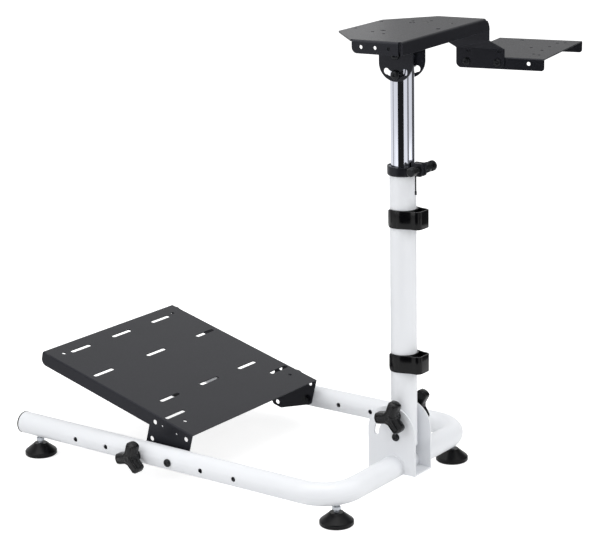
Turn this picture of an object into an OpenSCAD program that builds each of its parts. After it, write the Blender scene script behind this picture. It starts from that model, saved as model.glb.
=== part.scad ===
// Folding racing-wheel stand: U-shaped tube base, folding pole, wheel deck, shifter deck
// and tilting pedal deck.
// Frame: origin on the floor in the middle of the part's box, +X to the user's right,
// +Y forward from the user towards the pedals, +Z up. Millimetres. Each part is drawn
// with the pole's axis at X = 0, Y = 0, and then moved to the pole's place.

/* [Place] */
// Pole axis from the origin, to the user's right
pole_x = -130; // [-150:1:-110]
// Pole axis from the origin, forward
pole_y = -300; // [-320:1:-280]

/* [Base frame] */
// Distance between the two leg axes
leg_spacing = 410; // [400:5:440]
// Outside diameter of the base tube
tube_d = 40; // [36:1:42]
// Wall of the base tube
tube_wall = 1.5; // [1.2:0.1:3]
// Height of the base tube's axis above the floor
tube_axis_z = 54.5; // [50:0.5:62]
// Position of the legs' front ends, forward of the pole axis
leg_end_y = 700; // [660:5:760]
// Cross tube axis, forward of the pole axis
cross_y = 5; // [0:1:8]
// Centre-line radius of the two rear bends
bend_r = 60; // [50:5:80]
// Number of adjusting holes through each leg
leg_hole_count = 6; // [5:1:6]
// Pitch of the adjusting holes
leg_hole_pitch = 72; // [66:1:74]
// First adjusting hole, measured from the leg's front end
leg_hole_margin = 142; // [120:1:160]
// Diameter of the adjusting holes
leg_hole_d = 9; // [8.6:0.1:10]

/* [Levelling feet] */
// Diameter of a foot pad
foot_pad_d = 58; // [44:1:64]
// Height of a foot pad
foot_pad_h = 22; // [18:1:26]
// Thread diameter of a foot's stud
foot_stud_d = 8; // [6:1:10]
// Front feet, measured from the leg's front end
foot_margin = 35; // [25:1:60]
// Angle of the rear feet round the bend, from the cross tube
rear_foot_angle = 36; // [30:1:60]

/* [Clevis] */
// Sheet thickness of the clevis
clevis_t = 3; // [2:0.5:5]
// Reach of the clevis plates behind the pole axis
clevis_rear = 38; // [36:1:44]
// Reach of the clevis plates in front of the pole axis
clevis_front = 57; // [54:1:62]
// Height of the clevis plates' lower edge
clevis_z0 = 44; // [40:1:50]
// Height of the fold pivot
fold_pivot_z = 109; // [108:1:114]
// Radius of the curved slot round the fold pivot
fold_slot_r = 40; // [38:1:42]
// Width of the curved slot
fold_slot_w = 9; // [8.6:0.1:10]
// Sweep of the curved slot, from straight up to the front
fold_slot_sweep = 87; // [80:1:90]

/* [Pole] */
// Outside diameter of the painted pole
pole_d = 45; // [43:0.5:48]
// Wall of the painted pole
pole_wall = 1.6; // [1.2:0.1:1.8]
// Lower end of the pole
pole_z0 = 90; // [88:1:92]
// Upper end of the pole
pole_z1 = 575; // [540:5:580]
// Outside diameter of the chromed inner tube
inner_d = 40; // [36:0.5:40.5]
// Wall of the inner tube
inner_wall = 1.5; // [1.2:0.1:2.5]
// Length of the inner tube
inner_len = 316; // [260:2:330]
// Running gap between the pole and the clevis plates
pole_gap = 0.5; // [0.3:0.1:1]

/* [Clamp collar] */
// Height of the clamp collar's band
collar_h = 16; // [12:1:20]
// Wall of the clamp collar
collar_wall = 3.5; // [2.5:0.5:5]
// Width of the slit between the collar's two ears
collar_slit = 3; // [2:0.5:5]
// Thickness of each collar ear
collar_ear_t = 6; // [4:0.5:8]
// Distance of the clamp screw behind the pole axis
clamp_y = 34; // [32:1:38]
// Length of the clamp screw's bar handle
clamp_bar_len = 36; // [28:1:50]

/* [Cable clips] */
// Height of a cable clip
clip_h = 26; // [24:1:40]
// Wall of a cable clip
clip_wall = 2.6; // [2:0.1:4]
// Reach of the clip's loop behind the pole axis
clip_reach = 45; // [42:1:56]
// Angle of the clip's opening at the front
clip_opening = 76; // [60:2:100]
// Middle height of the lower clip
clip_low_z = 236; // [200:1:300]
// Middle height of the upper clip
clip_high_z = 489; // [400:1:500]

/* [Wheel deck] */
// Turn of the whole head on the round inner tube
head_yaw = 5.6; // [0:0.1:10]
// Sheet thickness of the wheel deck
deck_t = 3; // [2:0.5:4]
// Height of the wheel deck's top face
deck_z = 791.4; // [780:1:820]
// Width of the wheel deck's flat top
deck_w = 313; // [295:1:335]
// Distance of the deck's middle to the right of the pole
deck_offset = 81.5; // [75:0.5:90]
// Distance of the fixing holes' middle to the right of the deck's middle
deck_hole_shift = 8.5; // [0:0.5:10]
// Overhang of the rear flange past the flat top's right edge
deck_overhang = 14; // [12:0.5:18]
// Reach of the deck behind the pole axis
deck_rear = 38; // [37:1:48]
// Length of the deck's straight side edges
deck_side_len = 92; // [84:1:110]
// Depth of the deck in all
deck_depth = 159; // [140:1:180]
// Inset of the deck's chamfered front corners
deck_chamfer = 80; // [60:1:90]
// Height of the deck's folded flanges
deck_flange = 22; // [16:1:24]
// Diameter of the deck's small fixing holes
deck_hole_d = 6; // [4:0.5:8]

/* [Tilt bracket] */
// Sheet thickness of the tilt bracket
ear_t = 3; // [2:0.5:5]
// Width of each ear
ear_w = 61; // [58:1:64]
// Distance of the tilt pivot below the deck's top face
tilt_pivot_drop = 29.4; // [28:0.2:34]
// Radius of the notched slot round the tilt pivot
tilt_slot_r = 32; // [31:0.5:34]
// Angle between two notches of the slot
tilt_notch_angle = 32; // [28:1:34]
// Diameter of the notches
tilt_notch_d = 11; // [9:0.5:12]
// Distance from the tilt pivot to the bottom of the ears
ear_drop = 43.5; // [42:0.5:46]

/* [Shifter deck] */
// Turn of the shifter deck about the pole, from straight ahead
shifter_yaw = 11.9; // [8:0.1:14]
// Sheet thickness of the shifter deck
shifter_t = 2; // [1.5:0.5:3]
// Sheet thickness of the arm
arm_t = 3; // [2:0.5:4]
// Bend radius of the arm at the deck's right edge
arm_bend_r = 22; // [18:1:24]
// Length of the arm's tab under the deck
arm_tab_len = 86; // [70:1:100]
// Drop from the deck's top face to the end of the arm's upright part
arm_upright_drop = 39.4; // [36:0.2:44]
// Drop from the deck's top face to the shifter deck's top face
shifter_drop = 68.9; // [66:0.1:80]
// Height of the arm's knee above the shifter deck's top face
arm_knee_h = 14.5; // [12:0.5:18]
// Width of the shifter deck
shifter_w = 232; // [180:2:260]
// Depth of the shifter deck
shifter_depth = 157; // [120:1:180]
// Reach of the shifter deck in front of the pole axis (negative is behind)
shifter_front = -4; // [-20:1:0]
// Height of the shifter deck's folded flanges
shifter_flange = 21; // [18:1:26]
// Width of the arm's lower flange
arm_w = 88; // [80:1:110]
// Pitch of the three holes in the shifter deck's flange
arm_bolt_pitch = 56; // [50:1:60]

/* [Pedal deck] */
// Sheet thickness of the pedal deck
pedal_t = 2; // [1.5:0.5:3]
// Length of the pedal deck along its slope
pedal_len = 361; // [320:1:400]
// Slope of the pedal deck, from level
pedal_tilt = 15; // [12:0.5:18]
// Height of the pedal deck's side flanges
pedal_flange = 24; // [20:1:26]
// Angle between two neighbouring setting holes
pedal_step = 15; // [12:1:16]
// Pivot, measured up the slope from the low edge
pedal_pivot_u = 12; // [11:0.5:16]
// Pivot, measured down from the pedal deck's top face
pedal_pivot_v = 47; // [44:0.5:50]
// Leg hole that the pedal deck turns on, counted from the front
pedal_pivot_hole = 3; // [3:1:4]
// Gap between a deck bracket and its leg
pedal_side_gap = 0.5; // [0.3:0.1:1.5]
// Length of the pedal fixing slots
pedal_slot_len = 52; // [30:1:60]
// Width of the pedal fixing slots
pedal_slot_w = 8; // [5:0.5:9]

/* [Knobs and bolts] */
// Tip radius of the three-lobed knobs
knob_r = 30; // [24:1:33]
// Thickness of the knobs' lobes
knob_t = 17; // [12:1:22]
// Diameter of the knob screws and pivot bolts
bolt_d = 8; // [6:0.5:8.4]
// Diameter of the bolts' round heads
bolt_head_d = 14; // [12:0.5:16]

/* [Hidden] */
$fn = 64;

WHITE = "white";
BLACK = "#202124";
fit = 0.1;          // radial play of a bolt in its hole
seat = 0.1;         // gap between faces that bear on each other
weld = 0.3;         // gap left where the clevis is welded round the tube
tube_r = tube_d / 2;
leg_x = leg_spacing / 2;
bolt_r = bolt_d / 2;
leg_top_z = tube_axis_z + tube_r;
bend_c = [leg_x - bend_r, cross_y + bend_r];
pole_r = pole_d / 2;
clevis_in = pole_r + pole_gap;
clevis_out = clevis_in + clevis_t;
clevis_mid_y = (clevis_front - clevis_rear) / 2;
clevis_arch_r = (clevis_front + clevis_rear) / 2;
clevis_arch_z = fold_pivot_z + 6;
clevis_saddle_r = tube_r + weld;
fold_knob_z = fold_pivot_z + fold_slot_r;
collar_z0 = pole_z1 - 14;
collar_z1 = collar_z0 + collar_h;
clamp_z = collar_z0 + 12;
clamp_screw_r = 4;
collar_edge = 3;
inner_r = inner_d / 2;
tilt_pivot_z = deck_z - tilt_pivot_drop;
inner_z1 = tilt_pivot_z + 9;
inner_z0 = inner_z1 - inner_len;
ear_in = inner_r + 0.6;
ear_out = ear_in + ear_t;
ear_arc_z = tilt_pivot_z - ear_drop + ear_w / 2;
deck_y1 = deck_depth - deck_rear;
deck_x0 = deck_offset - deck_w / 2;
deck_x1 = deck_offset + deck_w / 2;
deck_hole_x = deck_offset + deck_hole_shift;
deck_end_x = deck_x1 + deck_overhang;
deck_side_y = deck_side_len - deck_rear;
deck_bend = deck_t + 1;
arm_x = deck_end_x;
shifter_z = deck_z - shifter_drop;
shifter_x0 = arm_x + arm_t + seat;
shifter_y0 = shifter_front - shifter_depth;
arm_bolt_z = shifter_z - 9.4;
arm_bolt_y = shifter_front - 17;
arm_y1 = shifter_front + 2;
arm_y0 = arm_y1 - arm_w;
arm_top_z = deck_z - deck_t - seat;
arm_bend_x = deck_end_x - arm_bend_r;
arm_tab_x = arm_bend_x - arm_tab_len;
deck_bolt_x = arm_tab_x + 15;
deck_bolt_ys = [deck_side_y - 19.5, deck_side_y - 66];
pedal_w = leg_spacing - tube_d - 2 * pedal_side_gap;
pedal_pivot_y = leg_hole_y(pedal_pivot_hole);

function leg_hole_y(i) = leg_end_y - leg_hole_margin - i * leg_hole_pitch;

module at_pole() translate([pole_x, pole_y, 0]) children();

// Shapes used by several parts

// rectangle with rounded corners, from [0,0]
module round_rect(w, h, r) {
    union() {
        translate([r, 0]) square([w - 2 * r, h]);
        translate([0, r]) square([w, h - 2 * r]);
        for (x = [r, w - r], y = [r, h - r]) translate([x, y]) circle(r);
    }
}

// slot with round ends, centred, lying along the first axis
module slot_2d(len, w) {
    union() {
        square([len - w, w], center = true);
        for (s = [-1, 1]) translate([s * (len - w) / 2, 0]) circle(d = w);
    }
}

// curved slot about the origin, from angle a0 to a1 (anticlockwise, up to 180 apart)
module arc_slot(r, w, a0, a1) {
    far = 3 * r;
    union() {
        intersection() {
            difference() { circle(r + w / 2); circle(r - w / 2); }
            polygon([[0, 0], far * [cos(a0), sin(a0)], far * [cos((a0 + a1) / 2), sin((a0 + a1) / 2)],
                     far * [cos(a1), sin(a1)]]);
        }
        for (a = [a0, a1]) rotate(a) translate([r, 0]) circle(d = w);
    }
}

// 2D drawn in the Y-Z plane, given thickness t from x = 0
module yz(t) { rotate([90, 0, 90]) linear_extrude(t) children(); }

// sheet bend: a quarter ring of sheet along +X, outer radius r, thickness t;
// it turns from the top face (z = 0, y = r) down to the face y = 0, with a little
// flat at either end that runs into the sheets it joins
module bend_x(len, r, t) {
    rotate([90, 0, 90]) linear_extrude(len) union() {
        translate([r, -r]) intersection() {
            difference() { circle(r); circle(r - t); }
            translate([-r, 0]) square([r, r]);
        }
        translate([r - 0.01, -t]) square([0.5, t]);
        translate([0, -r - 0.5]) square([t, 0.51]);
    }
}

// bolt along +X: round head with a hexagon socket outside x = 0, shank, nut at the far end
module bolt(grip, nut = true) {
    head_h = bolt_head_d * 0.3;
    union() {
        difference() {
            rotate([0, -90, 0]) union() {
                cylinder(d = bolt_head_d, h = head_h * 0.4);
                translate([0, 0, head_h * 0.4])
                    cylinder(d1 = bolt_head_d, d2 = bolt_head_d * 0.62, h = head_h * 0.6);
            }
            translate([-head_h - 1, 0, 0]) rotate([0, 90, 0])
                cylinder(r = bolt_r * 0.7, h = head_h * 0.6 + 1, $fn = 6);
        }
        rotate([0, 90, 0]) cylinder(r = bolt_r, h = grip + (nut ? bolt_d * 0.95 : 0));
        if (nut) translate([grip, 0, 0]) rotate([0, 90, 0]) cylinder(r = bolt_d * 0.94, h = bolt_d * 0.8, $fn = 6);
    }
}

// three-lobed knob facing -X with its hub on x = 0; spin turns its lobes
module knob(spin, hub_h, bore_depth = 0) {
    tip = knob_r;
    half = knob_r * 0.3;
    difference() {
        rotate([0, -90, 0]) union() {
            cylinder(r = knob_r * 0.36, h = hub_h + 1);
            translate([0, 0, hub_h]) linear_extrude(knob_t) union() {
                circle(r = knob_r * 0.44);
                for (k = [0:2]) rotate(spin + 120 * k) polygon([
                    [0, -half * 1.25], [tip * 0.8, -half], [tip * 0.97, -half * 0.45], [tip, 0],
                    [tip * 0.97, half * 0.45], [tip * 0.8, half], [0, half * 1.25]]);
            }
        }
        if (bore_depth > 0)
            translate([-bore_depth, 0, 0]) rotate([0, 90, 0]) cylinder(r = bolt_r + fit, h = bore_depth + 1);
    }
}

// Base

module base_tube() color(WHITE) difference() {
    base_path(tube_r);
    base_path(tube_r - tube_wall, 1);
    for (s = [-1, 1], i = [0:leg_hole_count - 1])
        translate([s * leg_x, leg_hole_y(i), tube_axis_z]) rotate([0, 90, 0])
            cylinder(d = leg_hole_d, h = tube_d + 4, center = true);
    for (s = [-1, 1]) {
        translate([s * leg_x, leg_end_y - foot_margin, 0]) foot_hole();
        translate(rear_foot(s)) foot_hole();
    }
}

function rear_foot(s) = [s * (bend_c[0] + bend_r * sin(rear_foot_angle)),
                         bend_c[1] - bend_r * cos(rear_foot_angle), 0];

module foot_hole() translate([0, 0, tube_axis_z - tube_r - 2]) cylinder(r = foot_stud_d / 2 + fit, h = tube_r);

// centre line of the base swept with a disc of radius r; over lengthens the open ends
module base_path(r, over = 0) translate([0, 0, tube_axis_z]) union() {
    translate([-bend_c[0], cross_y, 0]) rotate([0, 90, 0]) cylinder(r = r, h = 2 * bend_c[0]);
    for (s = [-1, 1]) {
        translate([s * leg_x, bend_c[1], 0]) rotate([-90, 0, 0]) cylinder(r = r, h = leg_end_y - bend_c[1] + over);
        translate([s * bend_c[0], bend_c[1], 0]) rotate([0, 0, s > 0 ? -90 : 180])
            rotate_extrude(angle = 90) translate([bend_r, 0]) circle(r);
    }
}

module leg_cap(s) color(BLACK) translate([s * leg_x, leg_end_y, tube_axis_z]) rotate([-90, 0, 0]) union() {
    translate([0, 0, -14]) difference() {
        cylinder(r = tube_r - tube_wall - fit, h = 14.5);
        translate([0, 0, -1]) cylinder(r = tube_r - tube_wall - 2.5, h = 12);
    }
    translate([0, 0, seat]) rotate_extrude() intersection() {
        translate([0, -43]) circle(48, $fn = 120);
        square([tube_r, 6]);
    }
}

module foot_pad(p) color(BLACK) translate(p) rotate_extrude() difference() {
    polygon([[0, 0], [foot_pad_d / 2 - 1.5, 0], [foot_pad_d / 2, 1.5], [foot_pad_d / 2, 7],
             [foot_pad_d / 2 - 1, 8.5], [14.5, foot_pad_h - 2.5], [12, foot_pad_h], [0, foot_pad_h]]);
    translate([0, foot_pad_h - 8]) square([foot_stud_d / 2 + fit, 9]);
}

module foot_stud(p) color("silver") translate(p) union() {
    translate([0, 0, foot_pad_h - 7.9]) cylinder(d = foot_stud_d, h = tube_axis_z - foot_pad_h + 4);
    translate([0, 0, tube_axis_z - tube_r - 8]) cylinder(r = foot_stud_d * 0.92, h = 5.5, $fn = 6);
}

module clevis_plate_2d() difference() {
    union() {
        translate([-clevis_rear, clevis_z0]) square([clevis_rear + clevis_front, clevis_arch_z - clevis_z0]);
        translate([clevis_mid_y, clevis_arch_z]) circle(clevis_arch_r);
    }
    translate([cross_y, tube_axis_z]) circle(clevis_saddle_r);
    translate([0, fold_pivot_z]) circle(bolt_r + fit);
    translate([0, fold_pivot_z]) arc_slot(fold_slot_r, fold_slot_w, 90 - fold_slot_sweep, 90);
}

// two plates that sit over the cross tube, joined by a web behind it and one in front
module clevis() color(WHITE) union() {
    web_y = clevis_saddle_r - 0.4;
    for (x = [-clevis_out, clevis_in]) translate([x, 0, 0]) yz(clevis_t) clevis_plate_2d();
    translate([-clevis_in - 1, -clevis_rear, clevis_z0])
        cube([2 * clevis_in + 2, clevis_rear + cross_y - web_y, clevis_t]);
    translate([-clevis_in - 1, cross_y + web_y, clevis_z0])
        cube([2 * clevis_in + 2, clevis_front - cross_y - web_y, clevis_t]);
}

module fold_pivot_bolt() color(BLACK) translate([-clevis_out - seat, 0, fold_pivot_z]) bolt(2 * clevis_out + 2 * seat);

// pivot bolt of the pedal deck, head outside the leg and nut inside the bracket
module pedal_bolt(s) color(BLACK) mirror([s > 0 ? 1 : 0, 0, 0])
    translate([-leg_x - tube_r - seat, pedal_pivot_y, tube_axis_z])
        bolt(tube_d + pedal_side_gap + pedal_t + 3 * seat);

// knob with its screw, which ends flush with the inside of the leg
module pedal_knob(s) color(BLACK) mirror([s > 0 ? 1 : 0, 0, 0])
    translate([-leg_x - tube_r - seat, leg_hole_y(pedal_pivot_hole - 1), tube_axis_z]) union() {
        knob(-16, 8);
        translate([-12, 0, 0]) rotate([0, 90, 0]) cylinder(r = bolt_r, h = 12 + tube_d - seat);
    }

// Pole

module pole() color(WHITE) difference() {
    translate([0, 0, pole_z0]) cylinder(r = pole_r, h = pole_z1 - pole_z0);
    translate([0, 0, pole_z0 - 1]) cylinder(r = pole_r - pole_wall, h = pole_z1 - pole_z0 + 2);
    for (z = [fold_pivot_z, fold_knob_z]) translate([0, 0, z]) rotate([0, 90, 0])
        cylinder(r = bolt_r + fit, h = pole_d + 4, center = true);
}

module clamp_collar() color(BLACK) {
    ear_x = collar_slit / 2 + collar_ear_t;
    difference() {
        union() {
            translate([0, 0, collar_z0]) rotate_extrude() union() {
                square([pole_r + collar_wall - collar_edge, collar_h]);
                translate([0, collar_edge]) square([pole_r + collar_wall, collar_h - collar_edge]);
                translate([pole_r + collar_wall - collar_edge, collar_edge]) circle(collar_edge);
            }
            translate([-ear_x, 0, clamp_z]) yz(2 * ear_x)
                translate([-clamp_y - 8, -11]) round_rect(clamp_y - pole_r + 12, 22, 4);
        }
        translate([0, 0, collar_z0 - 10]) cylinder(r = pole_r + fit, h = collar_h + 30);
        translate([-collar_slit / 2, -clamp_y - 20, collar_z0 - 10]) cube([collar_slit, clamp_y + 10, collar_h + 30]);
        translate([0, -clamp_y, clamp_z]) rotate([0, 90, 0]) cylinder(r = clamp_screw_r + fit, h = 60, center = true);
    }
}

// waisted nut on the right-hand end of the clamp screw
module clamp_nut() color("#3a3b3e") {
    x0 = collar_slit / 2 + collar_ear_t + seat;
    translate([x0, -clamp_y, clamp_z]) rotate([0, 90, 0]) rotate_extrude() difference() {
        polygon([[0, 0], [6.5, 0], [6.5, 8], [9, 10], [9, 15], [5.5, 17], [5.5, 23], [9, 25], [9, 30],
                 [8, 31], [0, 31]]);
        translate([0, -1]) square([clamp_screw_r + fit, 24]);
    }
}

// snap-on clip: a band open towards the front with rounded ends, and a loop for cables behind
module cable_clip(z) color(BLACK) {
    ro = pole_r + clip_wall;
    loop_w = 2 * pole_r - 9;
    end_y = ro * cos(clip_opening / 2);
    end_r = clip_h * 0.36;
    difference() {
        translate([0, 0, z - clip_h / 2]) linear_extrude(clip_h) difference() {
            union() {
                circle(ro);
                translate([-loop_w / 2, -clip_reach]) round_rect(loop_w, clip_reach - pole_r + 10, 9);
            }
            circle(pole_r + fit);
            translate([-loop_w / 2 + clip_wall, -clip_reach + clip_wall])
                round_rect(loop_w - 2 * clip_wall, clip_reach - ro - clip_wall + 1, 6);
            polygon([[0, 0], 3 * ro * [sin(clip_opening / 2), cos(clip_opening / 2)],
                     3 * ro * [-sin(clip_opening / 2), cos(clip_opening / 2)]]);
        }
        for (s = [-1, 1]) translate([-ro - 5, 0, z]) yz(2 * ro + 10) difference() {
            translate([end_y - end_r, s > 0 ? clip_h / 2 - end_r : -clip_h / 2 - 2]) square(end_r + 2);
            translate([end_y - end_r, s * (clip_h / 2 - end_r)]) circle(end_r);
        }
    }
}

module fold_screw() color("silver") translate([-clevis_out - 14, 0, fold_knob_z]) rotate([0, 90, 0])
    cylinder(r = bolt_r, h = 2 * (clevis_out + 14));

module fold_knob(s) color(BLACK) mirror([s > 0 ? 1 : 0, 0, 0])
    translate([-clevis_out - 0.3, 0, fold_knob_z]) knob(s > 0 ? -15 : -19, 8, 14);

// screw with a ball-ended bar handle, turned by hand to loosen the collar
module clamp_screw() color("#8f9194") {
    ear_x = collar_slit / 2 + collar_ear_t;
    head_x = -ear_x - 12;
    translate([0, -clamp_y, clamp_z]) union() {
        translate([head_x, 0, 0]) rotate([0, 90, 0]) cylinder(r = clamp_screw_r, h = -head_x + ear_x + 20);
        translate([head_x - 12, 0, 0]) rotate([0, 90, 0]) rotate_extrude()
            polygon([[0, 0], [5.5, 0], [7.5, 2], [7.5, 12], [6.2, 13], [6.2, 24 - seat], [0, 24 - seat]]);
        translate([head_x + 6, 0, -clamp_bar_len]) cylinder(r = 1.3, h = clamp_bar_len);
        translate([head_x + 6, 0, -clamp_bar_len - 4]) cylinder(r = 1.8, h = 6);
    }
}

// Head: inner tube, tilt bracket, decks

module head() rotate([0, 0, head_yaw]) children();

module inner_tube() color("silver") head() difference() {
    translate([0, 0, inner_z0]) cylinder(r = inner_r, h = inner_len);
    translate([0, 0, inner_z0 - 1]) cylinder(r = inner_r - inner_wall, h = inner_len + 2);
    for (z = [tilt_pivot_z, tilt_pivot_z - tilt_slot_r]) translate([0, 0, z]) rotate([0, 90, 0])
        cylinder(r = bolt_r + fit, h = inner_d + 4, center = true);
}

module tilt_bolt(z) color(BLACK) head() translate([-ear_out - 0.3, 0, z]) bolt(2 * ear_out + 0.6);
module tilt_pivot_bolt() tilt_bolt(tilt_pivot_z);
module tilt_lock_bolt() tilt_bolt(tilt_pivot_z - tilt_slot_r);

module ear_2d() difference() {
    union() {
        translate([-ear_w / 2, ear_arc_z]) square([ear_w, deck_z - deck_t - ear_arc_z]);
        translate([0, ear_arc_z]) circle(ear_w / 2);
    }
    translate([0, tilt_pivot_z]) {
        circle(bolt_r + fit);
        arc_slot(tilt_slot_r, bolt_d + 1, 270 - tilt_notch_angle, 270 + tilt_notch_angle);
        for (k = [-1:1]) rotate(270 + k * tilt_notch_angle) translate([tilt_slot_r, 0]) circle(d = tilt_notch_d);
    }
}

// U-shaped bracket: the web lies under the deck, the ears hang either side of the tube
module tilt_bracket() color(BLACK) head() {
    top = deck_z - deck_t - seat;
    r = ear_t + 1.5;
    intersection() {
        translate([0, ear_w / 2, 0]) rotate([90, 0, 0]) linear_extrude(ear_w) difference() {
            translate([-ear_out, top - 80]) union() {
                square([2 * ear_out, 80 - r]);
                translate([r, 0]) square([2 * (ear_out - r), 80]);
                for (x = [r, 2 * ear_out - r]) translate([x, 80 - r]) circle(r);
            }
            translate([-ear_in, top - 81]) square([2 * ear_in, 81 - ear_t]);
        }
        translate([-ear_out - 1, 0, 0]) yz(2 * ear_out + 2) ear_2d();
    }
}

// fixing holes of the wheel deck, as shares of its width and depth:
// [distance either side of the holes' middle, distance from the rear edge]
deck_pairs = [[0.144, 0.937], [0.23, 0.642], [0.163, 0.604], [0.169, 0.572], [0.275, 0.465]];

module wheel_deck() color(BLACK) head() {
    r = deck_bend;
    x0 = deck_x0 + r;
    y0 = -deck_rear + r;
    relief = 2;
    side_len = deck_side_len - r - relief - 2;
    flange_w = deck_end_x - x0;
    corner = deck_flange;
    difference() {
        union() {
            translate([0, 0, deck_z - deck_t]) linear_extrude(deck_t) polygon([
                [x0, y0], [deck_x1, y0], [deck_x1, deck_side_y],
                [deck_x1 - deck_chamfer, deck_y1], [deck_x0 + deck_chamfer, deck_y1],
                [deck_x0, deck_side_y], [x0, deck_side_y - 2]]);
            // rear flange, with a rounded upper corner at its free right end
            translate([x0, -deck_rear, deck_z]) bend_x(deck_x1 - x0, r, deck_t);
            translate([x0, -deck_rear + deck_t, deck_z - deck_flange]) rotate([90, 0, 0])
                linear_extrude(deck_t) intersection() {
                    square([flange_w, deck_flange - r + 0.05]);
                    union() {
                        square([flange_w - corner, deck_flange]);
                        translate([flange_w - corner, 0]) circle(corner);
                    }
                }
            // left side flange
            translate([deck_x0, deck_side_y - 2, deck_z]) rotate([0, 0, -90]) bend_x(side_len, r, deck_t);
            translate([deck_x0, y0 + relief, deck_z - deck_flange]) yz(deck_t) difference() {
                union() {
                    square([side_len - 10, deck_flange - r + 0.05]);
                    translate([0, 10]) square([side_len, deck_flange - r - 9.95]);
                    translate([side_len - 10, 10]) circle(10);
                }
                for (k = [-1:1]) translate([side_len / 2 + deck_side_len * 0.277 * k, deck_flange - 11.5])
                    circle(d = 6.5);
            }
        }
        for (p = deck_pairs, s = [-1, 1])
            translate([deck_hole_x + s * p[0] * deck_w, p[1] * deck_depth - deck_rear, deck_z - deck_t - 1])
                cylinder(d = deck_hole_d, h = deck_t + 2);
        translate([deck_hole_x, 0.113 * deck_depth - deck_rear, deck_z - deck_t - 1]) cylinder(d = 8, h = deck_t + 2);
        for (y = deck_bolt_ys) translate([deck_bolt_x, y, deck_z]) sunk_hole(deck_t);
    }
}

// countersunk hole through a sheet whose top face is at z = 0
module sunk_hole(t) union() {
    translate([0, 0, -t - 1]) cylinder(r = 3 + fit, h = t + 2);
    translate([0, 0, -2.5 - 4 * fit]) cylinder(r1 = 3 + fit, r2 = 6 + 6 * fit, h = 3 + 5 * fit);
}

module arm_frame() rotate([0, 0, shifter_yaw - head_yaw]) children();

// a corner of the arm's lower flange as a place in the head's frame
function arm_point(x, y, z) =
    let (a = shifter_yaw - head_yaw) [x * cos(a) - y * sin(a), x * sin(a) + y * cos(a), z];

// arm of the shifter deck: a tab under the wheel deck, a wide bend down to an upright part,
// a skewed crank, and a lower flange turned towards the user
module shifter_arm() color(BLACK) head() {
    t = arm_t;
    y0 = -deck_rear + 0.3;
    y1 = deck_side_y;
    inner_y0 = -deck_rear + deck_t + 0.5;
    z_up = deck_z - arm_upright_drop;
    z_knee = shifter_z + arm_knee_h;
    z_low = shifter_z - shifter_flange + 1.5;
    difference() {
        union() {
            translate([arm_tab_x, inner_y0, arm_top_z - t]) cube([arm_bend_x - arm_tab_x + 0.05, y1 - inner_y0, t]);
            translate([arm_bend_x, y1, arm_top_z - arm_bend_r]) rotate([90, 0, 0]) linear_extrude(y1 - inner_y0)
                intersection() {
                    difference() { circle(arm_bend_r); circle(arm_bend_r - t); }
                    square(arm_bend_r + 1);
                }
            translate([deck_end_x - t, y0, z_up]) cube([t, y1 - y0, arm_top_z - arm_bend_r - z_up + 0.05]);
            translate([deck_end_x - t, y0, z_up]) cube([t, deck_t - 0.1, deck_z - deck_flange - 0.3 - z_up]);
        }
        for (y = deck_bolt_ys) translate([deck_bolt_x, y, arm_top_z - t - 1]) cylinder(r = 3 + fit, h = t + 2);
    }
    // crank between the upright part and the lower flange
    polyhedron(
        points = [
            [deck_end_x - t, y0, z_up + 0.05], [deck_end_x, y0, z_up + 0.05],
            [deck_end_x, y1, z_up + 0.05], [deck_end_x - t, y1, z_up + 0.05],
            arm_point(arm_x, arm_y0, z_knee - 0.05), arm_point(arm_x + t, arm_y0, z_knee - 0.05),
            arm_point(arm_x + t, arm_y1, z_knee - 0.05), arm_point(arm_x, arm_y1, z_knee - 0.05)],
        faces = [[3, 2, 1, 0], [4, 5, 6, 7], [7, 3, 0], [4, 7, 0], [6, 5, 1], [2, 6, 1],
                 [5, 4, 0], [1, 5, 0], [7, 6, 2], [3, 7, 2]]);
    arm_frame() difference() {
        translate([arm_x, 0, 0]) yz(t) intersection() {
            translate([arm_y0, z_low]) round_rect(arm_w, z_knee - z_low + 20, 8);
            translate([arm_y0, z_low]) square([arm_w, z_knee - z_low]);
        }
        for (k = [0, 1]) translate([arm_x - 1, arm_bolt_y - k * arm_bolt_pitch, 0]) {
            translate([0, 0, arm_bolt_z]) rotate([0, 90, 0]) cylinder(r = 3 + fit, h = 10);
            translate([0, -4, z_knee - 4.5]) yz(1 + t * 0.6) slot_2d(9, 4.5);
        }
    }
}

module arm_bolt(k) color(BLACK) head() arm_frame()
    translate([arm_x - seat, arm_bolt_y - k * arm_bolt_pitch, arm_bolt_z]) small_bolt(arm_t + shifter_t + 3 * seat);

// countersunk screw from above through the wheel deck and the arm's tab
module deck_bolt(y) color(BLACK) head() translate([deck_bolt_x, y, deck_z - fit]) difference() {
    grip = deck_t + arm_t + 3 * seat;
    union() {
        translate([0, 0, -2.5]) cylinder(r1 = 3, r2 = 5.5, h = 2.5);
        translate([0, 0, -grip - 6]) cylinder(r = 3, h = grip + 6);
        translate([0, 0, -grip - 5]) cylinder(r = 5.6, h = 5, $fn = 6);
    }
    translate([0, 0, -2]) cylinder(r = 2.2, h = 3, $fn = 6);
}

// 6 mm bolt along +X with a low round head and a nut
module small_bolt(grip) union() {
    difference() {
        rotate([0, -90, 0]) cylinder(d1 = 11, d2 = 8, h = 3);
        translate([-4, 0, 0]) rotate([0, 90, 0]) cylinder(r = 2.2, h = 2.6, $fn = 6);
    }
    rotate([0, 90, 0]) cylinder(r = 3, h = grip + 6);
    translate([grip, 0, 0]) rotate([0, 90, 0]) cylinder(r = 5.6, h = 5, $fn = 6);
}

// fixing holes of the shifter deck, as shares of its width and depth:
// [distance from its middle, distance behind its front edge]
shifter_holes = [[-0.353, 0.318], [0.405, 0.318], [0.039, 0.599], [-0.31, 0.854], [0.362, 0.854],
                 [-0.276, 0.777], [0.328, 0.777], [-0.073, 0.777], [0.125, 0.777]];

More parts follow.
